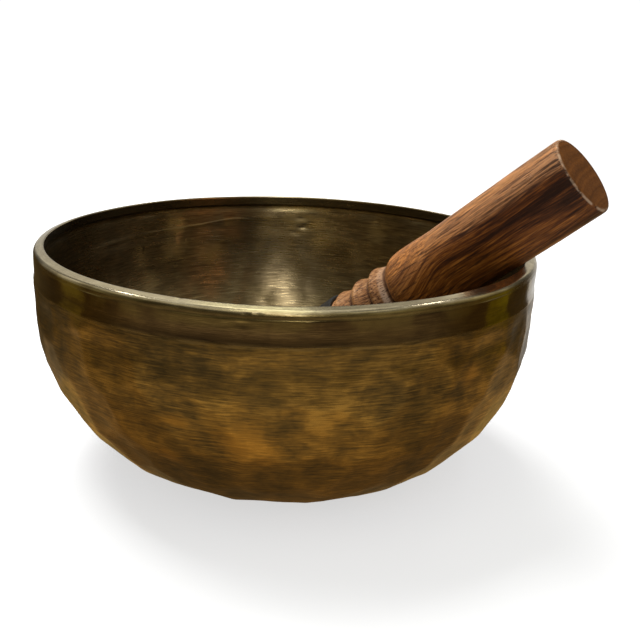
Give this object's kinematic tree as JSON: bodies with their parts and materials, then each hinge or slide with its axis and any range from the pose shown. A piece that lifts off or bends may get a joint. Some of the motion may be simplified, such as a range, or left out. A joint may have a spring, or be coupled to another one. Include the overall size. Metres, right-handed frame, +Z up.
{
  "type": "singing bowl",
  "caption": "Hammered bronze singing bowl with a thick lip, and a turned wooden mallet with a leather-wrapped grip end leaning in it.",
  "frame": {"origin": "centre of the flat base, on the surface the bowl stands on", "axes": "+Z up along the bowl's axis; +X to the right as seen from the front; the front is -Y, and the mallet's striking end points to +X, -Y and up"},
  "size_m": [0.2149, 0.2, 0.136],
  "materials": {
    "bronze": "hand-hammered bronze with a dark brown patina, ground bright on the lip",
    "rosewood": "turned reddish-brown hardwood with dark grain, satin",
    "black_leather": "matt black wrapped leather"
  },
  "bodies": {
    "bowl": {"bowl": "bronze"},
    "mallet": {"mallet_wood": "rosewood", "leather_sleeve": "black_leather"}
  },
  "joints": [
    {"name": "mallet_lift", "type": "slide", "parent": "bowl", "child": "mallet", "axis": [0, 0, 1], "range_m": [0, 0.1]}
  ]
}
